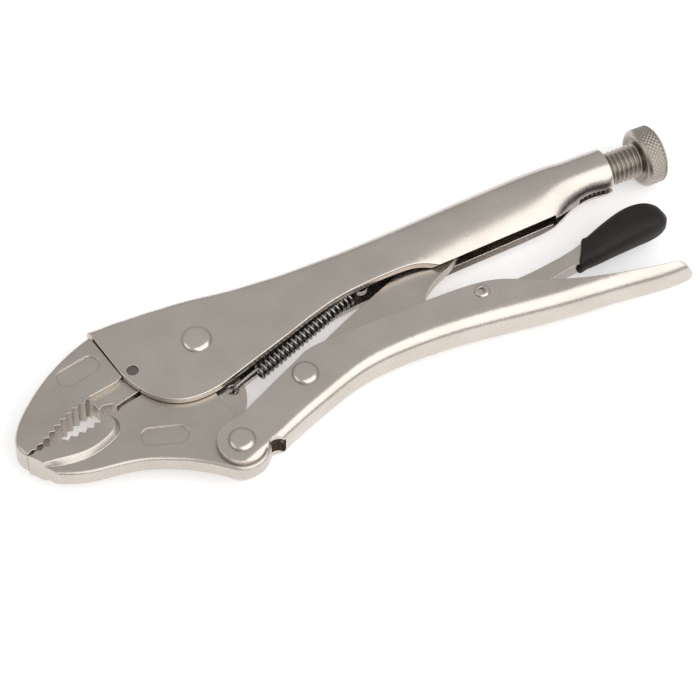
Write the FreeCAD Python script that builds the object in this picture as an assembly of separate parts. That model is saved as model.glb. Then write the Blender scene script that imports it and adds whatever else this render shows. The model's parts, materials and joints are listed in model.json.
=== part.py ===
import FreeCAD, Part
import math
import os
from FreeCAD import Vector

# Locking pliers, 250 mm class, closed and locked.
# Everything is drawn about the main pivot: X runs back to the adjusting knob, Y runs in the
# plane of the sheet-metal cheeks away from the lever, Z is the direction of every rivet.
# At the end the whole tool is moved so that it lies on its side on the plane z = 0.

# ---- pivots, in the XY plane ----
MAIN_PIVOT = (0.0, 0.0)
HANDLE_PIVOT = (-2.4, -41.2)
LINK_PIVOT = (26.9, -26.6)
LINK_END = (102.0, 9.2)
RELEASE_PIVOT = (94.0, -22.2)
LOCK_PIN = (-23.8, -2.4)
SPRING_HOLE = (3.9, -20.5)
SPRING_ANCHOR = (60.0, 0.5)

# ---- sheet metal ----
SHEET = 2.4
CHEEK = 6.2            # half width of the fixed handle over its cheeks
LEVER_CHEEK = 6.1      # half width of the lever over its ears
TUBE_RADIUS = 8.0      # rolled tail of the fixed handle
TUBE_BORE = 6.1
TAIL_X = 158.3
SCREW_Y = 9.6
LIP_GAP = 2.45         # half width of the slot that the toggle link comes through
LIP_REACH = 9.0        # half width and depth of the tool that cuts the lips
LIP_DEPTH = 7.0
NECK_X = 141.0         # where the slot closes to a seam
SLIT_START = 144.5     # where the seam opens again into the tail's slit
SLOT_FLOOR = -15.0
SLOT_TOP = 7.0
BORE_START = 105.0
TAB_HALF = 2.8         # spring tab inside the fixed handle
TAB_THICK = 2.0
TAB_TOP = 13.0
TAB_HOLE = 1.6
HANDLE_STEP = 5.5      # spacing of the fixed handle's lofted sections
SEAM = 0.25
TAIL_SLOT = 1.5

# ---- forged jaws ----
JAW = 3.55             # half thickness of tang, ear and boss
NOSE = 5.5             # half thickness over the teeth
EAR_RADIUS = 13.0
EAR_GAP = 0.5
BOSS_RADIUS = 9.6
LUG = 2.0              # half thickness of the spring lug
TOOTH = 1.25
NOSE_ROUNDING = 1.8
PAD_ROUNDING = 0.6
KEEL_ROUNDING = 1.3
BADGE_LENGTH = 15.8
BADGE_WIDTH = 6.8
BADGE_DEPTH = 0.45

# ---- pins ----
RUNNING = 0.05
MAIN_SHANK = 3.5
MAIN_HEAD = 4.95
JOINT_SHANK = 3.0
JOINT_HEAD = 4.4
RELEASE_SHANK = 1.6
RELEASE_HEAD = 2.5
RELEASE_BORE = 0.9
RELEASE_CHEEK = 7.3    # half width of the lever at the release rivet
PIN_RADIUS = 2.0
PIN_RECESS = 0.5

# ---- link, release lever, screw and spring ----
LINK_HALF = 2.1
RELEASE_HALF = 2.6
GRIP_MOUTH = (133.8, -19.5)
GRIP_SLANT = -36.0
THREAD_CREST = 5.95
SCREW_TIP = 110.2
KNOB_FACE = 171.3
KNOB_END = 179.2
KNOB_RADIUS = 10.3
KNOB_CHAMFER = 1.1
KNOB_STEM = 4.0
WIRE = 0.55
COIL_RADIUS = 2.5
COIL_PITCH = 2.0
COIL_START = 11.4      # from the lug hole, along the spring
COIL_TURNS = 22
EDGE = 0.5             # rounding of the sheet's cut edges
FAR = 60.0             # reach of a cutting prism


def vec(x, y, z=0.0):
    return Vector(x, y, z)


def outline(runs, z=0.0):
    """Closed wire from runs: each is (kind, points) and starts where the last one ended.

    A "smooth" run is a curve whose first and last entries are its end directions.
    """
    pen = runs[0][1][0]
    first = pen
    edges = []
    for kind, points in runs:
        if kind == "smooth":
            ends = (vec(*points[0]), vec(*points[-1]))
            points = points[1:-1]
        path = [vec(pen[0], pen[1], z)]
        for point in points:
            here = vec(point[0], point[1], z)
            if here.distanceToPoint(path[-1]) > 1e-6:
                path.append(here)
        if kind == "arc":
            edges.append(Part.Arc(*path).toShape())
        elif kind in ("curve", "smooth"):
            curve = Part.BSplineCurve()
            if kind == "smooth":
                curve.interpolate(Points=path, InitialTangent=ends[0], FinalTangent=ends[1])
            else:
                curve.interpolate(path)
            edges.append(curve.toShape())
        else:
            for start, end in zip(path, path[1:]):
                edges.append(Part.LineSegment(start, end).toShape())
        pen = points[-1]
    if math.dist(pen, first) > 1e-6:
        edges.append(Part.LineSegment(vec(pen[0], pen[1], z), vec(first[0], first[1], z)).toShape())
    return Part.Wire(edges)


def plate(runs, half):
    """Outline extruded both ways from the mid-plane."""
    return Part.Face(outline(runs, -half)).extrude(vec(0, 0, 2 * half))


def on_circle(centre, radius, degrees):
    angle = math.radians(degrees)
    return (centre[0] + radius * math.cos(angle), centre[1] + radius * math.sin(angle))


def lies_flat(edge, height):
    box = edge.BoundBox
    return abs(abs(box.ZMin) - height) < 1e-3 and abs(abs(box.ZMax) - height) < 1e-3


def outside(edge, half):
    """True for an edge that runs along the outer face of one cheek."""
    box = edge.BoundBox
    return box.ZMin * box.ZMax > 0 and min(abs(box.ZMin), abs(box.ZMax)) > half - 0.1 and edge.Length > 12.0


def is_curve(edge):
    return edge.Curve.TypeId == "Part::GeomBSplineCurve"


def peg(at, radius, low, high):
    return Part.makeCylinder(radius, high - low, vec(at[0], at[1], low))


def section(x, half_width, top, top_radius, bottom, bottom_radius):
    """Rounded rectangle in the plane X = x, with the same eight edges at every station."""
    corners = (
        (half_width, top, top_radius, 0),
        (-half_width, top, top_radius, 90),
        (-half_width, bottom, bottom_radius, 180),
        (half_width, bottom, bottom_radius, 270),
    )
    arcs = []
    for z, y, radius, turn in corners:
        centre_z = z - math.copysign(radius, z)
        centre_y = y - radius if y == top else y + radius
        points = []
        for step in (0, 45, 90):
            angle = math.radians(turn + step)
            y_here = centre_y + radius * math.sin(angle)
            points.append(Vector(x, y_here, centre_z + radius * math.cos(angle)))
        arcs.append(points)
    edges = []
    for index, points in enumerate(arcs):
        edges.append(Part.Arc(*points).toShape())
        edges.append(Part.LineSegment(points[2], arcs[(index + 1) % 4][0]).toShape())
    return Part.Wire(edges)


def evenly(stations, step):
    """Stations spaced about evenly along X, on curves that never overshoot the given ones."""
    slopes = []
    for index, here in enumerate(stations):
        before = stations[max(index - 1, 0)]
        after = stations[min(index + 1, len(stations) - 1)]
        row = []
        for k in range(1, len(here)):
            rise_in = (here[k] - before[k]) / max(here[0] - before[0], 1e-9)
            rise_out = (after[k] - here[k]) / max(after[0] - here[0], 1e-9)
            level = rise_in * rise_out <= 0
            row.append(0.0 if level else 2 * rise_in * rise_out / (rise_in + rise_out))
        slopes.append(row)
    first, last = stations[0][0], stations[-1][0]
    count = round((last - first) / step)
    made = []
    index = 0
    for number in range(count + 1):
        x = first + (last - first) * number / count
        while index < len(stations) - 2 and x > stations[index + 1][0]:
            index += 1
        low, high = stations[index], stations[index + 1]
        gap = high[0] - low[0]
        t = (x - low[0]) / gap
        row = [x]
        for k in range(1, len(low)):
            row.append(
                (2 * t ** 3 - 3 * t ** 2 + 1) * low[k]
                + (t ** 3 - 2 * t ** 2 + t) * gap * slopes[index][k - 1]
                + (3 * t ** 2 - 2 * t ** 3) * high[k]
                + (t ** 3 - t ** 2) * gap * slopes[index + 1][k - 1]
            )
        made.append(row)
    return made


def channel(stations, inset):
    """Solid through the stations, drawn in by the sheet's thickness when inset is not zero."""
    wires = []
    for x, half_width, top, top_radius, bottom, bottom_radius in stations:
        wires.append(section(
            x,
            half_width - inset,
            top - inset,
            max(top_radius - inset, 0.5),
            bottom + inset,
            max(bottom_radius - inset, 0.5),
        ))
    return Part.makeLoft(wires, True, False)


def rivet(at, shank, head, cheek, rise=1.7, bore=0.0):
    """Two domed heads on one shank; a bore makes it a tubular rivet."""
    rim = 0.35
    dome = rise - rim
    profile = [
        ("line", [(0, 0), (shank, 0), (shank, cheek), (head, cheek), (head, cheek + rim)]),
        ("curve", [
            (head * 0.93, cheek + rim + dome * 0.30),
            (head * 0.62, cheek + rim + dome * 0.78),
            (0, cheek + rise),
        ]),
    ]
    half = Part.Face(outline(profile)).revolve(vec(0, 0), vec(0, 1, 0), 360)
    half.rotate(vec(0, 0), vec(1, 0, 0), 90)
    other = half.mirror(vec(0, 0), vec(0, 0, 1))
    body = half.fuse(other).removeSplitter()
    body.translate(vec(at[0], at[1]))
    if bore:
        for side in (1, -1):
            foot = vec(at[0], at[1], side * (cheek - 0.6))
            body = body.cut(Part.makeCone(bore, bore * 1.5, 2.2, foot, vec(0, 0, side)))
    return body


def badge(centre, slope, face):
    """Blank stadium-shaped recess in both sides of a jaw."""
    half = BADGE_LENGTH / 2 - BADGE_WIDTH / 2
    tool = Part.makeBox(2 * half, BADGE_WIDTH, FAR, vec(-half, -BADGE_WIDTH / 2, 0))
    for side in (-1, 1):
        tool = tool.fuse(Part.makeCylinder(BADGE_WIDTH / 2, FAR, vec(side * half, 0)))
    tool = tool.removeSplitter()
    tool.rotate(vec(0, 0), vec(0, 0, 1), slope)
    low = tool.mirror(vec(0, 0), vec(0, 0, 1))
    tool.translate(vec(centre[0], centre[1], face - BADGE_DEPTH))
    low.translate(vec(centre[0], centre[1], BADGE_DEPTH - face))
    return tool.fuse(low)


# ---- fixed handle -------------------------------------------------------------------------

# x, half width, top, top corner radius, height where the wall starts to curl in, then the
# height and half width where the curl ends
HANDLE_STATIONS = (
    (-36.0, CHEEK, 18.6, 3.2, -28.0, -30.0, 6.0),
    (-20.0, CHEEK, 18.4, 3.2, -28.0, -30.0, 6.0),
    (0.0, CHEEK, 17.3, 3.2, -28.0, -30.0, 6.0),
    (20.0, CHEEK, 14.8, 3.4, -24.0, -27.0, 6.0),
    (40.0, 6.4, 13.8, 4.0, -12.0, -20.0, 6.1),
    (56.0, 6.75, 14.0, 4.8, -1.0, -12.0, 6.2),
    (72.0, 7.1, 14.8, 5.7, 5.0, -8.0, 5.3),
    (88.0, 7.5, 15.8, 6.5, 8.0, -6.2, 3.9),
    (104.0, 7.85, 16.8, 7.0, 8.8, -5.5, 3.65),
    (120.0, 8.2, 17.7, 7.5, 9.2, -4.7, 3.6),
    (132.0, 8.5, 18.15, 7.8, 9.4, -3.2, 3.4),
    (137.0, 8.5, 18.1, 7.8, 9.5, -1.6, 2.3),
    (142.0, 8.25, 17.8, 7.5, 9.5, 0.3, 1.0),
    (147.0, TUBE_RADIUS, SCREW_Y + TUBE_RADIUS, 7.3, SCREW_Y - 0.2, 1.611, 0.42),
    (TAIL_X, TUBE_RADIUS, SCREW_Y + TUBE_RADIUS, 7.3, SCREW_Y - 0.2, 1.611, 0.42),
)
LIP_START = (80.0, -5.35)
LIP_END = (133.0, -2.9)
LIP_EDGE = 4.4         # half width over the lips
LIP_TILT = 30.0


def curled(x, half_width, top, top_radius, curl, low, low_width):
    """Section whose walls curl in below the height curl, along arcs that start upright."""
    drop = half_width - low_width
    radius = ((curl - low) ** 2 + drop ** 2) / (2 * drop)
    sweep = math.asin((curl - low) / radius)
    shoulder = top - top_radius
    flat = half_width - top_radius
    half = math.radians(45.0)
    right = [
        (low, low_width),
        (curl - radius * math.sin(sweep / 2), half_width - radius + radius * math.cos(sweep / 2)),
        (curl, half_width),
        (shoulder, half_width),
        (shoulder + top_radius * math.sin(half), flat + top_radius * math.cos(half)),
        (top, flat),
    ]
    points = [Vector(x, y, z) for y, z in right] + [Vector(x, y, -z) for y, z in reversed(right)]
    return Part.Wire([
        Part.Arc(*points[0:3]).toShape(),
        Part.LineSegment(points[2], points[3]).toShape(),
        Part.Arc(*points[3:6]).toShape(),
        Part.LineSegment(points[5], points[6]).toShape(),
        Part.Arc(*points[6:9]).toShape(),
        Part.LineSegment(points[8], points[9]).toShape(),
        Part.Arc(*points[9:12]).toShape(),
        Part.LineSegment(points[11], points[0]).toShape(),
    ])


def handle_skin(inset):
    """Solid through the handle's sections, drawn in by inset along each arc's own radius."""
    wires = []
    stations = evenly(HANDLE_STATIONS, HANDLE_STEP)
    for x, half_width, top, top_radius, curl, low, low_width in stations:
        drop = half_width - low_width
        sweep = math.asin((curl - low) / (((curl - low) ** 2 + drop ** 2) / (2 * drop)))
        wires.append(curled(
            x,
            half_width - inset,
            top - inset,
            top_radius - inset,
            curl,
            low + inset * math.sin(sweep),
            low_width - inset * math.cos(sweep),
        ))
    return Part.makeLoft(wires, True, False)


def lip_cut():
    """Roof-shaped prism below the lips, which leaves their cut faces square to the sheet."""
    tilt = math.tan(math.radians(LIP_TILT))
    ridge = (LIP_EDGE - LIP_GAP) * tilt
    eave = -(LIP_REACH - LIP_EDGE) * tilt
    profile = [
        (-LIP_REACH, eave), (-LIP_GAP, ridge), (-LIP_GAP, LIP_DEPTH), (LIP_GAP, LIP_DEPTH),
        (LIP_GAP, ridge), (LIP_REACH, eave), (LIP_REACH, -LIP_DEPTH), (-LIP_REACH, -LIP_DEPTH),
    ]
    corners = [Vector(LIP_START[0], LIP_START[1] + rise, z) for z, rise in profile]
    face = Part.Face(Part.makePolygon(corners + corners[:1]))
    return face.extrude(vec(LIP_END[0] - LIP_START[0], LIP_END[1] - LIP_START[1]))


def fixed_handle():
    side_view = [
        ("line", [(-31.2, 17.4), (-27.6, -2.5)]),
        ("curve", [(-25.2, -8.3), (-20.5, -15.0), (-13.5, -19.4), (-7.0, -20.3), (1.5, -19.1)]),
        ("line", [(30.0, -10.0)]),
        ("curve", [(40.0, -6.7), (50.0, -4.2), (60.0, -3.0), (74.0, -2.2), (80.0, -2.6),
                   (84.0, -3.8), (88.0, -5.6)]),
        ("line", [(96.0, -9.0), (170.0, -9.0), (170.0, 30.0), (-31.2, 30.0)]),
    ]
    shell = handle_skin(0).cut(handle_skin(SHEET)).common(plate(side_view, FAR))
    rims = [edge for edge in shell.Edges if outside(edge, CHEEK) and edge.BoundBox.YMax < 0
            and edge.BoundBox.XMax < 89.0]
    shell = shell.makeFillet(EDGE, rims)
    # half widths of the slot along X: wide for the link, closed at the neck, open in the tail
    widths = (
        (LIP_END[0] - 1.0, LIP_GAP), (LIP_END[0], LIP_GAP), (NECK_X, SEAM), (SLIT_START, SEAM),
        (SLIT_START, TAIL_SLOT), (TAIL_X + 5.0, TAIL_SLOT),
    )
    other_side = [(x, -half) for x, half in reversed(widths)]
    mouth = [("line", list(widths) + other_side)]
    slot = Part.Face(outline(mouth)).extrude(vec(0, 0, SLOT_TOP - SLOT_FLOOR))
    slot.rotate(vec(0, 0), vec(1, 0, 0), -90)
    slot.translate(vec(0, SLOT_FLOOR))
    bore = Part.makeCylinder(TUBE_BORE, TAIL_X, vec(BORE_START, SCREW_Y), vec(1, 0, 0))
    shell = shell.cut(bore).cut(slot).cut(lip_cut())
    holes = peg(MAIN_PIVOT, MAIN_SHANK, -FAR, FAR).fuse(peg(LOCK_PIN, PIN_RADIUS, -FAR, FAR))
    shell = shell.cut(holes)
    low_corner = vec(SPRING_ANCHOR[0] - TAB_HALF, SPRING_ANCHOR[1], -TAB_THICK / 2)
    tab = Part.makeBox(2 * TAB_HALF, TAB_TOP - SPRING_ANCHOR[1], TAB_THICK, low_corner)
    tab = tab.fuse(peg(SPRING_ANCHOR, TAB_HALF, -TAB_THICK / 2, TAB_THICK / 2))
    tab = tab.cut(peg(SPRING_ANCHOR, TAB_HOLE, -FAR, FAR))
    return shell.fuse(tab).removeSplitter()


# ---- jaws ---------------------------------------------------------------------------------

def tooth_row(base, count, depth, side):
    """Zigzag along a base curve: one point in the valley, one on the crest, for each tooth."""
    curve = Part.BSplineCurve()
    curve.interpolate([vec(x, y) for x, y in base])
    first = curve.FirstParameter
    span = curve.LastParameter - first
    points = []
    for index in range(2 * count + 1):
        share = index / (2 * count)
        where = first + span * share
        point = curve.value(where)
        normal = curve.tangent(where)[0].cross(vec(0, 0, side))
        reach = depth * (0.55 + 0.45 * min(1.0, 3 * share)) if index % 2 else 0.0
        points.append((point.x + normal.x * reach, point.y + normal.y * reach))
    return points


def upper_jaw():
    teeth = tooth_row([(-65.0, -16.7), (-56.5, -12.3), (-48.8, -8.0), (-41.4, -6.0)], 9, TOOTH, 1)
    nose_top = [(-50.0, 7.8), (-60.0, 0.0), (-66.6, -7.4), (-68.6, -12.0), (-66.9, -17.85)]
    nose = plate([
        ("line", [(-31.35, 15.4), (-34.0, 15.5)]),
        ("curve", nose_top),
        ("line", teeth + [(-40.2, -7.2), (-39.2, -9.2), (-27.75, -2.6)]),
    ], NOSE)
    relief = [
        ("line", [(-40.4, -5.6), (-27.0, -3.4), (-20.0, -3.0), (-20.0, -14.0), (-39.6, -14.0)]),
    ]
    for side in (1, -1):
        cut = Part.Face(outline(relief)).extrude(vec(0, 0, side * 10))
        cut.translate(vec(0, 0, side * JAW))
        nose = nose.cut(cut)
    tang = plate([
        ("line", [(-40.5, 12.0), (-34.0, 15.5), (-4.0, 14.3), (-4.0, 0.0), (-12.0, -6.2), (-24.5, -9.1),
                  (-32.0, -11.0), (-33.3, -11.4), (-34.2, -10.0), (-37.2, -9.4), (-39.0, -10.4),
                  (-39.6, -8.2)]),
    ], JAW)
    tang = tang.cut(peg(MAIN_PIVOT, EAR_RADIUS + EAR_GAP, -FAR, FAR))
    jaw = nose.fuse(tang).removeSplitter()
    brow = [edge for edge in jaw.Edges if lies_flat(edge, NOSE) and is_curve(edge)]
    jaw = jaw.makeFillet(NOSE_ROUNDING, brow)
    jaw = jaw.cut(peg(LOCK_PIN, PIN_RADIUS, -FAR, FAR))
    return jaw.cut(badge((-39.9, 4.9), 11.0, NOSE))


def lower_jaw():
    teeth = tooth_row([(-65.2, -18.2), (-57.0, -18.0), (-46.0, -17.6), (-38.0, -14.6)], 9, TOOTH, -1)
    rear = on_circle(HANDLE_PIVOT, BOSS_RADIUS, 230.0)
    front = on_circle(HANDLE_PIVOT, BOSS_RADIUS, 43.3)
    under = on_circle(HANDLE_PIVOT, BOSS_RADIUS, -43.3)
    bottom = [
        (-0.766, 0.643), (-17.7, -41.4), (-25.7, -37.0), (-33.7, -33.8), (-41.7, -32.2),
        (-51.7, -30.6), (-60.0, -27.4), (-0.9, 0.436),
    ]
    body = plate([
        ("line", [(-66.8, -18.1)] + teeth + [(-36.4, -13.6), (-33.3, -13.1), (-32.0, -12.2), (-24.5, -10.7),
                                             (-10.6, -7.5), (4.0, -8.0), (7.4, -12.0), (7.8, -18.5)]),
        ("curve", [(7.7, -22.2), (6.3, -25.9), (2.8, -30.0), front]),
        ("arc", [under, rear]),
        ("smooth", bottom),
        ("line", [(-63.2, -22.9), (-64.7, -20.6)]),
    ], JAW)
    keel = [edge for edge in body.Edges if lies_flat(edge, JAW) and edge.BoundBox.YMin < -32.5
            and edge.BoundBox.YMax < -27.3]
    body = body.makeFillet(KEEL_ROUNDING, keel)
    body = body.fuse(peg(MAIN_PIVOT, EAR_RADIUS, -JAW, JAW))
    pads = []
    for side in (1, -1):
        step = []
        for height, lower in (
            (JAW - 0.5, [(-57.6, -25.2), (-50.0, -26.0), (-41.0, -23.9), (-35.2, -20.0), (-35.0, -15.6)]),
            (NOSE, [(-57.0, -23.2), (-50.0, -23.9), (-41.0, -22.0), (-36.9, -18.8), (-36.8, -15.2)]),
        ):
            step.append(outline([
                ("line", [(-66.8, -18.1)] + teeth + [(-37.2, -14.6)] + [lower[-1]]),
                ("curve", list(reversed(lower[:-1])) + [(-63.2, -22.9)]),
                ("line", [(-64.7, -20.6)]),
            ], side * height))
        pads.append(Part.makeLoft(step, True, True))
    body = body.fuse(pads).removeSplitter()
    steps = [edge for edge in body.Edges if lies_flat(edge, NOSE) and is_curve(edge)]
    body = body.makeFillet(PAD_ROUNDING, steps)
    thin = [
        ("line", [(-1.6, -14.5), (-2.0, -20.9), (-1.4, -24.4), (1.0, -31.2), (14.0, -31.2), (14.0, -14.5)]),
    ]
    ear = peg(MAIN_PIVOT, EAR_RADIUS, -FAR, FAR)
    for side in (1, -1):
        cut = Part.Face(outline(thin)).extrude(vec(0, 0, side * 10))
        cut.translate(vec(0, 0, side * LUG))
        body = body.cut(cut.cut(ear))
    holes = peg(MAIN_PIVOT, MAIN_SHANK + RUNNING, -FAR, FAR)
    holes = holes.fuse(peg(HANDLE_PIVOT, JOINT_SHANK + RUNNING, -FAR, FAR))
    holes = holes.fuse(peg(SPRING_HOLE, 1.9, -FAR, FAR))
    return body.cut(holes).cut(badge((-23.6, -28.0), -18.0, JAW))


# ---- lever --------------------------------------------------------------------------------

LEVER_STATIONS = (
    (-20.0, LEVER_CHEEK, 10.0, 1.0, -56.0, 4.4),
    (-8.0, LEVER_CHEEK, 10.0, 1.0, -53.0, 4.4),
    (4.0, LEVER_CHEEK, 10.0, 1.0, -48.8, 4.4),
    (12.0, LEVER_CHEEK, 10.0, 1.0, -45.5, 4.4),
    (20.0, LEVER_CHEEK, 10.0, 1.0, -42.2, 4.4),
    (32.0, LEVER_CHEEK, 10.0, 1.0, -37.8, 4.5),
    (46.0, 6.5, 10.0, 1.0, -33.6, 4.7),
    (62.0, 6.8, 10.0, 1.0, -32.1, 5.0),
    (80.0, 7.1, 10.0, 1.0, -32.8, 5.4),
    (100.0, 7.4, 10.0, 1.0, -35.3, 5.8),
    (120.0, 7.5, 10.0, 1.0, -38.0, 6.2),
    (140.0, 7.5, 10.0, 1.0, -39.8, 6.6),
    (168.0, 7.5, 10.0, 1.0, -41.2, 6.9),
)
LEVER_END = 165.0
WEB_START = 11.2


def lever_handle():
    ear = 8.05
    side_view = [
        ("line", [(-2.4, -33.15), (1.0, -32.5)]),
        ("line", [(27.0, -20.4)]),
        ("curve", [(31.0, -18.6), (36.0, -17.9), (60.0, -17.8), (90.0, -18.2), (100.0, -19.8),
                   (110.0, -24.2), (122.0, -29.4), (136.0, -33.6), (150.0, -36.6), (162.0, -38.3)]),
        ("line", [(170.0, -38.6), (170.0, -60.0), (WEB_START, -60.0), (WEB_START, -47.5), (4.6, -46.3),
                  (-2.4, -48.0)]),
    ]
    blank = plate(side_view, FAR).fuse(peg(HANDLE_PIVOT, ear, -FAR, FAR))
    blank = blank.cut(peg((7.8, -47.7), 3.5, -FAR, FAR))
    shells = []
    for inset in (0.0, SHEET):
        end = LEVER_END - inset
        round_end = 6.6 - inset
        plan = [
            ("line", [(-30.0, -20.0), (-30.0, 20.0), (end - round_end - 4.0, 20.0),
                      (end - round_end - 4.0, round_end + 0.9)]),
            ("curve", [(end - round_end * 0.45, round_end * 0.86), (end, 0.0),
                       (end - round_end * 0.45, -round_end * 0.86),
                       (end - round_end - 4.0, -round_end - 0.9)]),
            ("line", [(end - round_end - 4.0, -20.0)]),
        ]
        trim = Part.Face(outline(plan)).extrude(vec(0, 0, 80))
        trim.rotate(vec(0, 0), vec(1, 0, 0), -90)
        trim.translate(vec(0, -60.0))
        shells.append(channel(LEVER_STATIONS, inset).common(trim))
    # the ears forward of the web stand apart, with nothing between them
    inside = LEVER_CHEEK - SHEET
    ears_only = Part.makeBox(WEB_START + 30.0, 80.0, 2 * inside, vec(-30.0, -80.0, -inside))
    shell = shells[0].cut(shells[1]).common(blank).cut(ears_only)
    for at in (HANDLE_PIVOT, LINK_PIVOT):
        shell = shell.cut(peg(at, JOINT_SHANK, -FAR, FAR))
    shell = shell.cut(peg(RELEASE_PIVOT, RELEASE_SHANK, -FAR, FAR))
    return shell.removeSplitter()


# ---- link and release ---------------------------------------------------------------------

def toggle_link():
    eye = 5.2
    tip = 3.8
    link = plate([
        ("line", [(24.5, -22.0)]),
        ("curve", [(36.0, -16.9), (50.0, -10.6), (64.0, -5.0), (80.0, 2.2), (92.0, 9.0),
                   (100.6, 13.0)]),
        ("line", [(105.0, 6.6)]),
        ("curve", [(98.0, -0.4), (92.0, -4.9), (84.0, -8.6), (79.0, -12.0), (76.3, -16.0)]),
        ("curve", [(70.0, -19.4), (50.0, -25.6), (28.5, -31.55)]),
    ], LINK_HALF)
    link = link.fuse(peg(LINK_PIVOT, eye, -LINK_HALF, LINK_HALF))
    link = link.fuse(peg(LINK_END, tip, -LINK_HALF, LINK_HALF))
    return link.cut(peg(LINK_PIVOT, JOINT_SHANK + RUNNING, -FAR, FAR)).removeSplitter()


def release_parts():
    boss = 3.9
    bar = plate([
        ("line", [(92.0, -18.9)]),
        ("curve", [(100.0, -19.3), (110.0, -19.8), (120.0, -18.9), (132.0, -16.9), (146.0, -12.4),
                   (162.0, -12.0)]),
        ("line", [(163.0, -19.0)]),
        ("curve", [(146.0, -21.6), (132.0, -22.9), (124.0, -23.8), (112.0, -26.0), (96.0, -25.9)]),
        ("line", [(86.0, -25.2), (78.6, -24.4)]),
        ("curve", [(77.6, -22.6), (79.0, -21.0)]),
    ], RELEASE_HALF)
    bar = bar.fuse(peg(RELEASE_PIVOT, boss, -RELEASE_HALF, RELEASE_HALF)).removeSplitter()
    bar = bar.cut(peg(RELEASE_PIVOT, RELEASE_SHANK + RUNNING, -FAR, FAR))
    # x of the station, centre y, half height, half thickness
    rings = (
        (130.5, -19.9, 4.0, 3.7), (138.0, -18.8, 4.9, 4.3), (146.0, -17.0, 5.9, 5.2),
        (155.0, -15.5, 6.7, 5.9), (162.0, -15.4, 6.4, 5.6), (166.4, -15.9, 4.5, 4.0),
        (168.4, -16.4, 1.6, 1.5),
    )
    wires = []
    for x, middle, high, thick in rings:
        ring = Part.Ellipse(Vector(x, middle, 0), high, thick).toShape()
        ring.rotate(Vector(x, middle, 0), vec(0, 1, 0), 90)
        ring.rotate(Vector(x, middle, 0), vec(1, 0, 0), 90)
        wires.append(Part.Wire(ring))
    grip = Part.makeLoft(wires, True, False)
    # the dipped sleeve's mouth is cut on a slant
    slant = Part.makeBox(30.0, 40.0, 40.0, vec(-30.0, -20.0, -20.0))
    slant.rotate(vec(0, 0), vec(0, 0, 1), GRIP_SLANT)
    slant.translate(vec(*GRIP_MOUTH))
    grip = grip.cut(slant).cut(bar)
    return bar, grip


# ---- screw and spring ---------------------------------------------------------------------

def screw_and_knob():
    along = vec(1, 0, 0)
    chamfer = 1.0
    screw = Part.makeCylinder(THREAD_CREST, KNOB_FACE - SCREW_TIP, vec(SCREW_TIP, SCREW_Y), along)
    stem_end = KNOB_END - 1.5
    screw = screw.fuse(Part.makeCylinder(KNOB_STEM, stem_end - KNOB_FACE, vec(KNOB_FACE, SCREW_Y), along))
    tip_edges = [edge for edge in screw.Edges if abs(edge.BoundBox.XMax - SCREW_TIP) < 0.01]
    screw = screw.makeChamfer(chamfer, tip_edges)
    length = KNOB_END - KNOB_FACE - RUNNING
    knob = Part.makeCylinder(KNOB_RADIUS, length, vec(KNOB_FACE + RUNNING, SCREW_Y), along)
    rims = [edge for edge in knob.Edges if abs(edge.Length - 2 * math.pi * KNOB_RADIUS) < 0.01]
    knob = knob.makeChamfer(KNOB_CHAMFER, rims)
    depth = stem_end - KNOB_FACE + 0.1
    pocket = Part.makeCylinder(KNOB_STEM + RUNNING, depth, vec(KNOB_FACE, SCREW_Y), along)
    return screw, knob.cut(pocket)


def return_spring():
    start = vec(*SPRING_HOLE)
    end = vec(*SPRING_ANCHOR)
    along = (end - start).normalize()
    length = end.distanceToPoint(start)
    coil_end = COIL_START + COIL_TURNS * COIL_PITCH
    coil = Part.makeHelix(COIL_PITCH, coil_end - COIL_START, COIL_RADIUS)
    circle = Part.Wire(Part.makeCircle(WIRE, Vector(COIL_RADIUS, 0, 0), vec(0, 1, 0)))
    wire = Part.Wire(coil).makePipeShell([circle], True, True)
    wire.translate(vec(0, 0, COIL_START))
    # hooks, drawn along Z like the coil: a ring at each end and a straight shank to the coil
    hook = 3.0
    front = Part.makeTorus(hook, WIRE, vec(0, 0, hook), vec(1, 0, 0))
    rear = Part.makeTorus(hook - 0.9, WIRE, vec(0, 0, length - hook + 0.9), vec(1, 0, 0))
    front_shank = Part.makeCylinder(WIRE, COIL_START - 2 * hook, vec(0, 0, 2 * hook))
    rear_shank = Part.makeCylinder(WIRE, length - 2 * hook + 1.8 - coil_end, vec(0, 0, coil_end))
    spring = wire
    for piece in (front, rear, front_shank, rear_shank):
        spring = spring.fuse(piece)
    for height in (COIL_START, coil_end):
        spring = spring.fuse(Part.makeCylinder(WIRE, COIL_RADIUS, vec(0, 0, height), vec(1, 0, 0)))
    upright = FreeCAD.Rotation(vec(0, 0, 1).cross(along) * -1, vec(0, 0, 1), along, "ZYX")
    spring.Placement = FreeCAD.Placement(start, upright)
    return spring


# ---- the whole tool -----------------------------------------------------------------------

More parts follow.
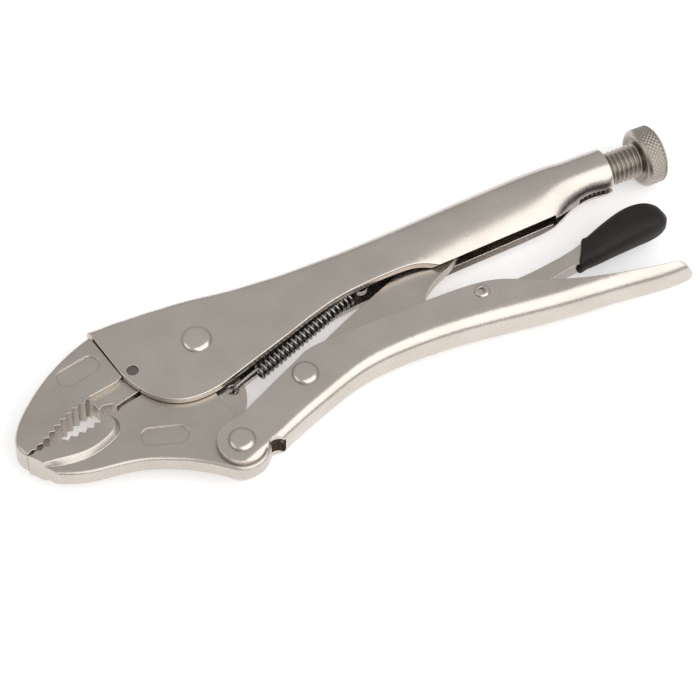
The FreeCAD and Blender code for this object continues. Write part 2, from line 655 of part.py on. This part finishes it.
def build():
    bar, grip = release_parts()
    screw, knob = screw_and_knob()
    pin_half = CHEEK - PIN_RECESS
    joint_rivet = rivet(HANDLE_PIVOT, JOINT_SHANK, JOINT_HEAD, LEVER_CHEEK)
    link_rivet = rivet(LINK_PIVOT, JOINT_SHANK, JOINT_HEAD, LEVER_CHEEK)
    release_rivet = rivet(RELEASE_PIVOT, RELEASE_SHANK, RELEASE_HEAD, RELEASE_CHEEK, 0.9, RELEASE_BORE)
    return {
        "fixed_handle": fixed_handle(),
        "upper_jaw": upper_jaw(),
        "jaw_lock_pin": peg(LOCK_PIN, PIN_RADIUS, -pin_half, pin_half),
        "jaw_pivot_rivet": rivet(MAIN_PIVOT, MAIN_SHANK, MAIN_HEAD, CHEEK),
        "return_spring": return_spring(),
        "lower_jaw": lower_jaw(),
        "lever_handle": lever_handle().cut(joint_rivet).cut(link_rivet).cut(release_rivet),
        "handle_rivet": joint_rivet,
        "link_rivet": link_rivet,
        "release_rivet": release_rivet,
        "toggle_link": toggle_link(),
        "release_lever": bar,
        "release_grip": grip,
        "adjusting_screw": screw,
        "adjusting_knob": knob,
    }


nodes = build()
box = Part.makeCompound(list(nodes.values())).optimalBoundingBox(False)
HOME = vec(-box.Center.x, -box.Center.y, -box.ZMin)
os.makedirs("parts", exist_ok=True)
for name, shape in nodes.items():
    shape.translate(HOME)
    shape.exportStep("parts/" + name + ".step")
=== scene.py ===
"""Locking pliers, lying on their side: finishes, thread, knurl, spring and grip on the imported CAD."""

import json
import math
import bmesh
import bpy
from mathutils import Matrix, Vector


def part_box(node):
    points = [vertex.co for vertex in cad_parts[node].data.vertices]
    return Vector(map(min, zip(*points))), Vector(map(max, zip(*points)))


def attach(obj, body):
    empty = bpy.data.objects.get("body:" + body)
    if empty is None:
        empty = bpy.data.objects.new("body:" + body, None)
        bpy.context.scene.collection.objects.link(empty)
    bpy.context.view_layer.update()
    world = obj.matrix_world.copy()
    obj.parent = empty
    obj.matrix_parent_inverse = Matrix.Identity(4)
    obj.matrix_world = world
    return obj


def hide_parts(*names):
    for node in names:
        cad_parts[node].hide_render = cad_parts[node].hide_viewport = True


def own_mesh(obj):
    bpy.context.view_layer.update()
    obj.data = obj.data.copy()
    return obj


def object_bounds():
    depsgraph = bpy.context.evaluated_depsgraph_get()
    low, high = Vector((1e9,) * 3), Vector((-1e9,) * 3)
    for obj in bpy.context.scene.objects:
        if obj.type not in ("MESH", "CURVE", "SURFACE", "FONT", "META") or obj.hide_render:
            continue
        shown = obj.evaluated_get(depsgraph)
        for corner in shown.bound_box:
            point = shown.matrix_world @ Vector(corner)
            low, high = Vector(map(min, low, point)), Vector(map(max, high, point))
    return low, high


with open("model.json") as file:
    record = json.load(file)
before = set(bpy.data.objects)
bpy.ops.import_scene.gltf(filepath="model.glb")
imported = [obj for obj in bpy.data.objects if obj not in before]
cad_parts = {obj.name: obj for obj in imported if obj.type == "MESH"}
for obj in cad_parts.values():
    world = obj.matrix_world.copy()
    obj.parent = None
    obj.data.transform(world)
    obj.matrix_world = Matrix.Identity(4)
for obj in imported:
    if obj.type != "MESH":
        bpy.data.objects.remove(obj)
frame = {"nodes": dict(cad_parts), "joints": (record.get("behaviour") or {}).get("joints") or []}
CAD_LOW, CAD_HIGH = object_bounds()

MM = 0.001
TURN = 2 * math.pi


def joint_place(name):
    """Point of a joint's axis, in metres."""
    return next(Vector(j["pos_m"]) for j in frame["joints"] if j["name"] == name)


# Pieces are drawn about the jaw's pivot, in millimetres: X to the knob, Y away from the lever.
PIVOT = joint_place("jaw_pivot")
SCREW_AXIS = joint_place("screw_turn")
SCREW_LOW, SCREW_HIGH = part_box("adjusting_screw")
KNOB_LOW, KNOB_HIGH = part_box("adjusting_knob")


def place(x, y, z=0.0):
    return PIVOT + Vector((x, y, z)) * MM


# ---- camera -------------------------------------------------------------------------------

CAMERA_AZIMUTH = math.radians(-29.0)
CAMERA_ELEVATION = math.radians(56.44)
CAMERA_ROLL = math.radians(3.83)
CAMERA_DISTANCE = 892.4 * MM
CAMERA_LENS = 138.86
AIM_SHIFT = Vector((-9.2, -5.5, 0.0)) * MM


def add_camera():
    lens = bpy.data.cameras.new("camera")
    lens.lens = CAMERA_LENS
    lens.sensor_width = 36.0
    lens.clip_start = 0.01
    lens.clip_end = 50.0
    camera = bpy.data.objects.new("camera", lens)
    bpy.context.scene.collection.objects.link(camera)
    level = math.cos(CAMERA_ELEVATION)
    back = Vector((
        math.sin(CAMERA_AZIMUTH) * level,
        -math.cos(CAMERA_AZIMUTH) * level,
        math.sin(CAMERA_ELEVATION),
    ))
    aim = (CAD_LOW + CAD_HIGH) / 2 + AIM_SHIFT
    turn = back.to_track_quat("Z", "Y").to_matrix() @ Matrix.Rotation(CAMERA_ROLL, 3, "Z")
    camera.matrix_world = Matrix.Translation(aim + back * CAMERA_DISTANCE) @ turn.to_4x4()
    bpy.context.scene.camera = camera


# ---- materials ----------------------------------------------------------------------------

class Shader:
    """A principled material and short calls for the nodes that feed it."""

    def __init__(self, name, **constants):
        self.material = bpy.data.materials.new(name)
        self.material.use_nodes = True
        self.tree = self.material.node_tree
        self.bsdf = self.tree.nodes["Principled BSDF"]
        for key, value in constants.items():
            self.bsdf.inputs[key.replace("_", " ")].default_value = value
        self.coords = self.node("ShaderNodeTexCoord").outputs["Object"]

    def node(self, kind, **settings):
        made = self.tree.nodes.new(kind)
        for key, value in settings.items():
            setattr(made, key, value)
        return made

    def link(self, source, target):
        self.tree.links.new(source, target)

    def noise(self, cell, detail=2.0, stretch=(1.0, 1.0, 1.0), turn=0.0):
        """Noise whose cells are about cell millimetres wide, times the stretch."""
        mapping = self.node("ShaderNodeMapping")
        mapping.inputs["Rotation"].default_value = (0.0, 0.0, turn)
        mapping.inputs["Scale"].default_value = [1.0 / (cell * MM * s) for s in stretch]
        self.link(self.coords, mapping.inputs["Vector"])
        made = self.node("ShaderNodeTexNoise")
        made.inputs["Scale"].default_value = 1.0
        made.inputs["Detail"].default_value = detail
        self.link(mapping.outputs["Vector"], made.inputs["Vector"])
        return made.outputs["Fac"]

    def span(self, source, low, high, start=0.3, end=0.7):
        """Source from start to end becomes low to high."""
        made = self.node("ShaderNodeMapRange")
        for key, value in (("From Min", start), ("From Max", end), ("To Min", low), ("To Max", high)):
            made.inputs[key].default_value = value
        self.link(source, made.inputs["Value"])
        return made.outputs["Result"]

    def mix(self, factor, first, second):
        """Colour from first to second; each is a colour or a socket."""
        made = self.node("ShaderNodeMix", data_type="RGBA")
        self.link(factor, made.inputs["Factor"])
        for value, slot in ((first, made.inputs[6]), (second, made.inputs[7])):
            if isinstance(value, bpy.types.NodeSocket):
                self.link(value, slot)
            else:
                slot.default_value = (*value, 1.0)
        return made.outputs[2]

    def bump(self, height, depth, normal=None):
        """Raises the surface by depth millimetres where height is 1."""
        made = self.node("ShaderNodeBump")
        made.inputs["Distance"].default_value = depth * MM
        self.link(height, made.inputs["Height"])
        if normal is not None:
            self.link(normal, made.inputs["Normal"])
        return made.outputs["Normal"]

    def set(self, name, source):
        self.link(source, self.bsdf.inputs[name])


def plated(name, light, dark, polish, dull, grain, depth, brush=None, edge=0.3, crevice_shade_strength=0.45):
    """Satin plating: blotched colour, grained roughness, fine bump, painted highlight on the edges, painted
    shade in the corners.

    polish and dull are the ends of the roughness, grain its cell and depth its height in mm,
    brush (angle, strength) adds grinding lines, edge is the radius of the cut edges.
    """
    made = Shader(name, Metallic=1.0)
    blotch = made.noise(14.0, 3.0)
    mottle = made.noise(1.3, 4.0)
    colour = made.mix(made.span(blotch, 0.0, 1.0), light, dark)
    colour = made.mix(made.span(mottle, 0.0, 0.35), colour, dark)
    fine = made.noise(grain, 2.0)
    rough = made.span(fine, polish, dull)
    height = made.bump(fine, depth)
    bevel = made.node("ShaderNodeBevel", samples=6)
    bevel.inputs["Radius"].default_value = edge * MM
    made.link(height, bevel.inputs["Normal"])
    normal = bevel.outputs["Normal"]
    if brush:
        lines = made.noise(0.22, 3.0, (1.0, 60.0, 1.0), brush[0])
        normal = made.bump(lines, brush[1], normal)
    surface = made.node("ShaderNodeNewGeometry").outputs["Normal"]
    plain = made.node("ShaderNodeBevel", samples=6)
    plain.inputs["Radius"].default_value = edge * MM
    across = made.node("ShaderNodeVectorMath", operation="DOT_PRODUCT")
    made.link(plain.outputs["Normal"], across.inputs[0])
    made.link(surface, across.inputs[1])
    # Painted highlight: the edges get a lighter colour, standing in for the shine of the rounded cut edges.
    painted_edge_highlight = made.span(across.outputs["Value"], 1.0, 0.0, 0.88, 0.99)
    colour = made.mix(painted_edge_highlight, colour, [min(1.0, c * 1.4) for c in light])
    # Painted shade: the colour is darkened towards a dark tone where ambient occlusion finds corners,
    # creases and gaps between parts.
    crevice_occlusion = made.node("ShaderNodeAmbientOcclusion", samples=12)
    crevice_occlusion.inputs["Distance"].default_value = 1.1 * MM
    painted_crevice_shade = made.span(crevice_occlusion.outputs["AO"], crevice_shade_strength, 0.0, 0.35, 0.95)
    colour = made.mix(painted_crevice_shade, colour, [c * 0.32 for c in dark])
    made.set("Base Color", colour)
    made.set("Roughness", rough)
    made.set("Normal", normal)
    return made.material


def vinyl():
    """Dipped black vinyl: soft sheen, faint orange peel and dust."""
    made = Shader("black_vinyl", Metallic=0.0, Specular_IOR_Level=0.24)
    peel = made.noise(0.9, 3.0)
    patch = made.noise(9.0, 3.0)
    fine = made.noise(0.18, 2.0)
    colour = made.mix(made.span(patch, 0.0, 1.0), (0.010, 0.008, 0.0068), (0.018, 0.0145, 0.0125))
    colour = made.mix(made.span(fine, 0.0, 0.3), colour, (0.035, 0.029, 0.025))
    made.set("Base Color", colour)
    made.set("Roughness", made.span(peel, 0.42, 0.56))
    made.set("Normal", made.bump(fine, 0.012, made.bump(peel, 0.035)))
    return made.material


# ---- mesh helpers -------------------------------------------------------------------------

def finish_mesh(name, mesh, material, crease=40.0):
    """Object from a bmesh: welded, turned outward, smooth except at sharp corners."""
    bmesh.ops.remove_doubles(mesh, verts=mesh.verts, dist=0.002 * MM)
    bmesh.ops.recalc_face_normals(mesh, faces=mesh.faces)
    data = bpy.data.meshes.new(name)
    mesh.to_mesh(data)
    mesh.free()
    data.shade_smooth()
    data.set_sharp_from_angle(angle=math.radians(crease))
    data.materials.append(material)
    piece = bpy.data.objects.new(name, data)
    bpy.context.scene.collection.objects.link(piece)
    return piece


def fit_piece(piece, body, node):
    """The piece rides on the body and stands for the CAD node, which is hidden."""
    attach(piece, body)
    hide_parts(node)


def skin(mesh, rings, cap=True):
    """Quads between rings of vertices, all with the same count; the ends are capped."""
    rows = [[mesh.verts.new(point) for point in ring] for ring in rings]
    count = len(rows[0])
    for low, high in zip(rows, rows[1:]):
        for i in range(count):
            j = (i + 1) % count
            mesh.faces.new((low[i], low[j], high[j], high[i]))
    if cap:
        mesh.faces.new(rows[0])
        mesh.faces.new(rows[-1])
    return rows


def about_screw(x, radius, angle):
    """Point round the screw's axis; x is measured from the jaw's pivot in millimetres."""
    return Vector((
        PIVOT.x + x * MM,
        SCREW_AXIS.y + radius * math.cos(angle) * MM,
        SCREW_AXIS.z + radius * math.sin(angle) * MM,
    ))


# ---- adjusting screw ----------------------------------------------------------------------

PITCH = 1.75
THREAD_DEPTH = 0.92
THREAD_STEPS = 12
THREAD_SIDES = 56
TIP_CHAMFER = 1.0
STEM = 4.0               # radius of the plain end that the knob turns on
RUNNING = 0.05


def thread_radius(share, crest):
    """Radius at a share of the pitch: flat crest, straight flanks and a rounded root."""
    slope = min(1.0, max(0.0, (1.0 - abs(2 * share - 1.0)) * 1.25 - 0.12))
    return crest - THREAD_DEPTH * slope * slope * (3 - 2 * slope)


def adjusting_screw(material):
    start = (SCREW_LOW.x - PIVOT.x) / MM
    face = (KNOB_LOW.x - PIVOT.x) / MM
    end = (SCREW_HIGH.x - PIVOT.x) / MM
    crest = (SCREW_HIGH.y - SCREW_LOW.y) / 2 / MM
    turns = math.ceil((face - start) / PITCH) + 2
    mesh = bmesh.new()
    rows = []
    for step in range(turns * THREAD_STEPS + 1):
        radius = thread_radius(step / THREAD_STEPS % 1.0, crest)
        row = []
        for side in range(THREAD_SIDES):
            x = start - PITCH + PITCH * (step / THREAD_STEPS + side / THREAD_SIDES)
            limit = max(1.0, crest - TIP_CHAMFER + (x - start))
            row.append(mesh.verts.new(about_screw(x, min(radius, limit), -TURN * side / THREAD_SIDES)))
        rows.append(row)
    for step in range(turns * THREAD_STEPS):
        for side in range(THREAD_SIDES - 1):
            low, high = rows[step], rows[step + 1]
            mesh.faces.new((low[side], low[side + 1], high[side + 1], high[side]))
        if step + 1 + THREAD_STEPS <= turns * THREAD_STEPS:
            low, high = rows[step + THREAD_STEPS], rows[step + 1 + THREAD_STEPS]
            mesh.faces.new((rows[step][-1], low[0], high[0], rows[step + 1][-1]))
    for x, side in ((start, -1), (face, 1)):
        parts = mesh.verts[:] + mesh.edges[:] + mesh.faces[:]
        bmesh.ops.bisect_plane(
            mesh, geom=parts, plane_co=about_screw(x, 0, 0), plane_no=(side, 0, 0), clear_outer=True
        )
    rim = [edge for edge in mesh.edges if edge.is_boundary]
    near = [edge for edge in rim if edge.verts[0].co.x < about_screw(start + 1, 0, 0).x]
    far = [edge for edge in rim if edge.verts[0].co.x > about_screw(face - 1, 0, 0).x]
    bmesh.ops.contextual_create(mesh, geom=near)
    for x, radius in ((face, STEM), (end, STEM)):
        made = bmesh.ops.extrude_edge_only(mesh, edges=far)["geom"]
        for vert in (part for part in made if isinstance(part, bmesh.types.BMVert)):
            angle = math.atan2(vert.co.z - SCREW_AXIS.z, vert.co.y - SCREW_AXIS.y)
            vert.co = about_screw(x, radius, angle)
        far = [part for part in made if isinstance(part, bmesh.types.BMEdge)]
    bmesh.ops.contextual_create(mesh, geom=far)
    piece = finish_mesh("threaded_screw", mesh, material, 60.0)
    fit_piece(piece, "adjusting_screw", "adjusting_screw")


# ---- knurled knob -------------------------------------------------------------------------

KNURLS = 42
KNURL_STEPS = 8
KNURL_DEPTH = 0.42
KNURL_SLANT = 0.62       # knurls crossed per millimetre along the knob
KNOB_CHAMFER = 1.1


def knurl_height(x, angle):
    """1 on the flat top of a diamond, 0 in the grooves that cross round it."""
    around = KNURLS * angle / TURN
    heights = []
    for sense in (1, -1):
        share = (around + sense * KNURL_SLANT * x) % 1.0
        heights.append(1.0 - abs(2 * share - 1.0))
    return min(1.0, 1.35 * min(heights))


def adjusting_knob(material):
    face = (KNOB_LOW.x - PIVOT.x) / MM
    end = (KNOB_HIGH.x - PIVOT.x) / MM
    radius = (KNOB_HIGH.y - KNOB_LOW.y) / 2 / MM
    stem = STEM + RUNNING
    sides = KNURLS * KNURL_STEPS
    lathe = [
        (end - 1.4, 0.02, 0), (end - 1.4, stem, 0), (face + 0.9, stem, 0), (face + 0.9, 6.6, 0),
        (face + 0.75, 7.0, 0),
        (face + 0.12, 8.0, 0), (face, 8.15, 0), (face, radius - KNOB_CHAMFER - 0.12, 0),
        (face + 0.05, radius - KNOB_CHAMFER, 0),
        (face + KNOB_CHAMFER * 0.5, radius - KNOB_CHAMFER * 0.45, 0),
        (face + KNOB_CHAMFER, radius - 0.06, 0), (face + KNOB_CHAMFER + 0.02, radius - 0.05, 0),
    ]
    low, high = face + KNOB_CHAMFER + 0.1, end - KNOB_CHAMFER - 0.1
    rows = round((high - low) * KNURL_SLANT * KNURL_STEPS)
    for row in range(rows + 1):
        lathe.append((low + (high - low) * row / rows, radius, 1))
    lathe += [
        (end - KNOB_CHAMFER - 0.02, radius - 0.05, 0), (end - KNOB_CHAMFER, radius - 0.06, 0),
        (end - KNOB_CHAMFER * 0.5, radius - KNOB_CHAMFER * 0.45, 0), (end - 0.05, radius - KNOB_CHAMFER, 0),
        (end, radius - KNOB_CHAMFER - 0.12, 0), (end, 6.2, 0), (end - 0.12, 5.9, 0), (end - 0.12, 3.0, 0),
        (end - 0.3, 0.02, 0),
    ]
    rings = []
    for x, reach, knurled in lathe:
        ring = []
        for side in range(sides):
            angle = TURN * side / sides
            drop = KNURL_DEPTH * (1.0 - knurl_height(x, angle)) if knurled else 0.0
            ring.append(about_screw(x, reach - drop, angle))
        rings.append(ring)
    mesh = bmesh.new()
    skin(mesh, rings)
    piece = finish_mesh("knurled_knob", mesh, material, 50.0)
    fit_piece(piece, "adjusting_knob", "adjusting_knob")


# ---- return spring ------------------------------------------------------------------------

SPRING_HOLE = (3.9, -20.5)
SPRING_ANCHOR = (60.0, 0.5)
WIRE = 0.55
COIL_RADIUS = 2.5
COIL_START = 11.4
COIL_END = 55.4
COIL_TURNS = 22
COIL_STEPS = 24
WIRE_SIDES = 12
FRONT_HOOK = 3.0
REAR_HOOK = 2.0
HOOK_STEPS = 14


def arc(centre, radius, start, end, steps):
    """Points (u, z) of an arc in the plane of the spring's hooks."""
    made = []
    for step in range(steps + 1):
        angle = math.radians(start + (end - start) * step / steps)
        made.append((centre[0] + radius * math.cos(angle), 0.0, centre[1] + radius * math.sin(angle)))
    return made


def spring_path(length):
    """Points (along the spring, across it, up) from the hook in the lug to the rear hook."""
    hook = arc((FRONT_HOOK, 0.0), FRONT_HOOK, 250.0, 110.0, HOOK_STEPS)
    lead = [(COIL_START - 2.6, 0.0, 2.75), (COIL_START - 1.3, 0.0, 2.62)]
    coil = []
    for step in range(COIL_TURNS * COIL_STEPS + 1):
        share = step / (COIL_TURNS * COIL_STEPS)
        angle = math.pi / 2 + TURN * COIL_TURNS * share
        coil.append((
            COIL_START + (COIL_END - COIL_START) * share,
            COIL_RADIUS * math.cos(angle),
            COIL_RADIUS * math.sin(angle),
        ))
    tail = arc((length - REAR_HOOK, 0.0), REAR_HOOK, 105.0, -75.0, HOOK_STEPS)
    return hook + lead + coil + tail


def tube(points, radius, sides):
    """Rings of a round wire along the points, without twist."""
    rings = []
    across = Vector((0.0, 0.0, 1.0))
    for index, point in enumerate(points):
        before = points[max(index - 1, 0)]
        after = points[min(index + 1, len(points) - 1)]
        along = (after - before).normalized()
        across = (across - along * across.dot(along)).normalized()
        other = along.cross(across)
        ring = []
        for side in range(sides):
            angle = TURN * side / sides
            ring.append(point + (across * math.cos(angle) + other * math.sin(angle)) * radius)
        rings.append(ring)
    return rings


def return_spring(material):
    start = place(*SPRING_HOLE)
    end = place(*SPRING_ANCHOR)
    along = (end - start).normalized()
    up = Vector((0.0, 0.0, 1.0))
    across = up.cross(along)
    points = []
    for u, v, w in spring_path((end - start).length / MM):
        points.append(start + (along * u + across * v + up * w) * MM)
    mesh = bmesh.new()
    skin(mesh, tube(points, WIRE * MM, WIRE_SIDES))
    piece = finish_mesh("tension_spring", mesh, material)
    fit_piece(piece, "fixed_handle", "return_spring")
    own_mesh(piece)


# ---- vinyl grip ---------------------------------------------------------------------------

# x of the ring, y of its middle, half height and half thickness
GRIP_RINGS = (
    (130.5, -19.9, 4.0, 3.7),
    (138.0, -18.8, 4.9, 4.3),
    (146.0, -17.0, 5.9, 5.2),
    (155.0, -15.5, 6.7, 5.9),
    (162.0, -15.4, 6.4, 5.6),
    (166.4, -15.9, 4.5, 4.0),
    (168.4, -16.4, 1.6, 1.5),
)
GRIP_SIDES = 48
GRIP_SQUARENESS = 2.5
MOUTH_MIDDLE = 133.5
MOUTH_SLANT = 3.0
GRIP_WALL = 0.7
BEAD_WIDTH = 1.5         # the rolled rim at the mouth
BEAD_HEIGHT = 0.4
# x past the mouth and how far the ring is drawn in, from the bore round the rim to its crest
RIM = ((0.12, 0.62), (0.0, 0.4), (0.05, 0.1), (0.25, -0.2), (0.7, -BEAD_HEIGHT), (1.3, -BEAD_HEIGHT))
BORE_RINGS = (155.0, 146.0, 138.0)
SLEEVE_RINGS = 34
TIP_STEP = 0.02
TIP_INSET = 0.3
BAR_END = 163.3


def ring_at(x):
    """Middle, half height and half thickness of the grip at x, by a smooth curve."""
    for index in range(len(GRIP_RINGS) - 1):
        if x <= GRIP_RINGS[index + 1][0]:
            break
    low, high = GRIP_RINGS[index], GRIP_RINGS[index + 1]
    before = GRIP_RINGS[max(index - 1, 0)]
    after = GRIP_RINGS[min(index + 2, len(GRIP_RINGS) - 1)]
    share = (x - low[0]) / (high[0] - low[0])
    made = []
    for k in (1, 2, 3):
        rise_low = (high[k] - before[k]) / (high[0] - before[0]) * (high[0] - low[0])
        rise_high = (after[k] - low[k]) / (after[0] - low[0]) * (high[0] - low[0])
        value = (
            (2 * share ** 3 - 3 * share ** 2 + 1) * low[k]
            + (share ** 3 - 2 * share ** 2 + share) * rise_low
            + (3 * share ** 2 - 2 * share ** 3) * high[k]
            + (share ** 3 - share ** 2) * rise_high
        )
        made.append(value)
    return made


def grip_ring(x, inset):
    """One slanted ring of the grip, drawn in by inset; the slant fades towards the tip."""
    ring = []
    fade = max(0.0, 1.0 - (x - MOUTH_MIDDLE) / 14.0)
    for side in range(GRIP_SIDES):
        angle = TURN * side / GRIP_SIDES
        high, wide = math.sin(angle), math.cos(angle)
        square_high = math.copysign(abs(high) ** (2 / GRIP_SQUARENESS), high)
        square_wide = math.copysign(abs(wide) ** (2 / GRIP_SQUARENESS), wide)
        here = x + MOUTH_SLANT * square_high * fade
        middle, half_height, half_thickness = ring_at(here)
        ring.append(place(
            here,
            middle + (half_height - inset) * square_high,
            (half_thickness - inset) * square_wide,
        ))
    return ring


def release_grip(material):
    rings = []
    for x in (BAR_END, *BORE_RINGS, MOUTH_MIDDLE + 0.6):
        rings.append(grip_ring(x, GRIP_WALL))
    for x, inset in RIM:
        rings.append(grip_ring(MOUTH_MIDDLE + x, inset))
    tip = GRIP_RINGS[-1][0]
    after_rim = MOUTH_MIDDLE + BEAD_WIDTH
    for step in range(1, SLEEVE_RINGS):
        x = after_rim + (tip - after_rim) * math.sin(step / SLEEVE_RINGS * math.pi / 2)
        bead = max(0.0, 1.0 - (x - after_rim) / BEAD_WIDTH)
        rings.append(grip_ring(x, -BEAD_HEIGHT * bead * bead))
    rings.append(grip_ring(tip - TIP_STEP, TIP_INSET))
    mesh = bmesh.new()
    skin(mesh, rings)
    piece = finish_mesh("vinyl_grip", mesh, material, 60.0)
    fit_piece(piece, "release_lever", "release_grip")


# ---- CAD nodes that keep their shape ------------------------------------------------------

def edge_key(data, edge):
    ends = []
    for index in edge.vertices:
        ends.append(tuple(round(value * 1e6) for value in data.vertices[index].co))
    return tuple(sorted(ends))


def smooth_node(name, crease=28.0):
    """Smooth shading that stops at real corners. The faces of a CAD node don't share vertices."""
    node = frame["nodes"][name]
    data = node.data
    data.shade_smooth()
    normals = {}
    for face in data.polygons:
        for key in face.edge_keys:
            normals.setdefault(key, []).append(face.normal)
    by_place = {}
    for edge in data.edges:
        by_place.setdefault(edge_key(data, edge), []).append(edge)
    limit = math.cos(math.radians(crease))
    for edges in by_place.values():
        sides = []
        for edge in edges:
            sides += normals.get(tuple(sorted(edge.vertices)), [])
        sharp = any(a.dot(b) < limit for a in sides for b in sides)
        for edge in edges:
            edge.use_edge_sharp = sharp
    weld = node.modifiers.new("weld", "WELD")
    weld.merge_threshold = 0.001 * MM
    return node


FINISHES = {
    "fixed_handle": "satin_nickel",
    "lever_handle": "satin_nickel",
    "toggle_link": "link_nickel",
    "release_lever": "link_nickel",
    "upper_jaw": "forged_nickel",
    "lower_jaw": "forged_nickel",
    "jaw_lock_pin": "pin_nickel",
    "jaw_pivot_rivet": "rivet_nickel",
    "handle_rivet": "rivet_nickel",
    "link_rivet": "rivet_nickel",
    "release_rivet": "rivet_nickel",
}


def dress_nodes(materials):
    for name, finish in FINISHES.items():
        node = smooth_node(name)
        node.data.materials.clear()
        node.data.materials.append(materials[finish])


# ---- light and floor ----------------------------------------------------------------------

# height above the horizon and the sky's level there
SKY_LEVELS = ((0.0, 0.22), (0.12, 0.40), (0.38, 0.55), (1.0, 0.60))
BOX_DISTANCE = 1.3
FLOOR_RADIUS = 6.0
FLOOR_GLOW = 0.34


def softbox(name, direction, distance, width, height, radiance, warm=(1.0, 1.0, 1.0)):
    """Area light aimed at the object's middle, as bright as its radiance says."""
    light = bpy.data.lights.new(name, "AREA")
    light.shape = "RECTANGLE"
    light.size = width
    light.size_y = height
    light.energy = radiance * math.pi * width * height
    light.color = warm
    lamp = bpy.data.objects.new(name, light)
    bpy.context.scene.collection.objects.link(lamp)
    aim = (CAD_LOW + CAD_HIGH) / 2
    toward = Vector(direction).normalized()
    lamp.location = aim + toward * distance
    lamp.rotation_mode = "QUATERNION"
    lamp.rotation_quaternion = toward.to_track_quat("Z", "Y")


def dome():
    """World light: grey overhead, a little darker at the horizon."""
    world = bpy.data.worlds.new("studio")
    world.use_nodes = True
    tree = world.node_tree
    background = tree.nodes["Background"]
    coords = tree.nodes.new("ShaderNodeTexCoord")
    split = tree.nodes.new("ShaderNodeSeparateXYZ")
    ramp = tree.nodes.new("ShaderNodeValToRGB")
    tree.links.new(coords.outputs["Generated"], split.inputs["Vector"])
    tree.links.new(split.outputs["Z"], ramp.inputs["Fac"])
    tree.links.new(ramp.outputs["Color"], background.inputs["Color"])
    ramp.color_ramp.interpolation = "EASE"
    while len(ramp.color_ramp.elements) < len(SKY_LEVELS):
        ramp.color_ramp.elements.new(0.5)
    for element, (where, level) in zip(ramp.color_ramp.elements, SKY_LEVELS):
        element.position = where
        element.color = (level, level, level, 1.0)
    bpy.context.scene.world = world


def floor():
    """Pale disc that the pliers lie on."""
    made = Shader("pale_floor", Metallic=0.0, Roughness=0.9)
    tone = made.noise(60.0, 3.0)
    made.set("Base Color", made.mix(made.span(tone, 0.0, 1.0), (0.93, 0.93, 0.93), (0.95, 0.95, 0.95)))
    made.bsdf.inputs["Emission Color"].default_value = (1.0, 1.0, 1.0, 1.0)
    made.bsdf.inputs["Emission Strength"].default_value = FLOOR_GLOW
    mesh = bmesh.new()
    bmesh.ops.create_circle(mesh, cap_ends=True, radius=FLOOR_RADIUS, segments=96)
    data = bpy.data.meshes.new("floor")
    mesh.to_mesh(data)
    mesh.free()
    data.materials.append(made.material)
    disc = bpy.data.objects.new("floor", data)
    disc.location.z = CAD_LOW.z - 0.02 * MM
    bpy.context.scene.collection.objects.link(disc)


def light_scene():
    dome()
    floor()
    softbox("front_box", (0.30, -0.72, 0.86), BOX_DISTANCE, 2.0, 1.5, 1.3)
    softbox("left_box", (-0.85, 0.1, 0.55), BOX_DISTANCE, 0.9, 0.7, 0.7)
    view = bpy.context.scene.view_settings
    view.view_transform = "Standard"


# ---- the whole object ---------------------------------------------------------------------

add_camera()
light_scene()
MATERIALS = {
    "satin_nickel": plated(
        "satin_nickel", (0.64, 0.585, 0.535), (0.57, 0.515, 0.465), 0.23, 0.31, 0.35, 0.006
    ),
    "link_nickel": plated(
        "link_nickel", (0.60, 0.545, 0.495), (0.52, 0.47, 0.42), 0.24, 0.34, 0.30, 0.006
    ),
    "forged_nickel": plated(
        "forged_nickel", (0.60, 0.545, 0.495), (0.52, 0.47, 0.42), 0.25, 0.36, 0.45, 0.012, (0.5, 0.012),
        # the second keyword below sets a stronger painted shade in the corners
        edge=0.45, crevice_shade_strength=0.6
    ),
    "rivet_nickel": plated(
        "rivet_nickel", (0.66, 0.605, 0.555), (0.58, 0.53, 0.48), 0.18, 0.27, 0.50, 0.004
    ),
    "pin_nickel": plated(
        "pin_nickel", (0.26, 0.235, 0.21), (0.18, 0.16, 0.145), 0.30, 0.42, 0.30, 0.006
    ),
    "screw_steel": plated(
        "screw_steel", (0.50, 0.455, 0.40), (0.42, 0.375, 0.325), 0.26, 0.38, 0.30, 0.004, edge=0.08
    ),
    "spring_steel": plated(
        "spring_steel", (0.40, 0.385, 0.37), (0.28, 0.265, 0.25), 0.20, 0.32, 0.30, 0.003, edge=0.05
    ),
    "black_vinyl": vinyl(),
}
dress_nodes(MATERIALS)
adjusting_screw(MATERIALS["screw_steel"])
adjusting_knob(MATERIALS["screw_steel"])
return_spring(MATERIALS["spring_steel"])
release_grip(MATERIALS["black_vinyl"])
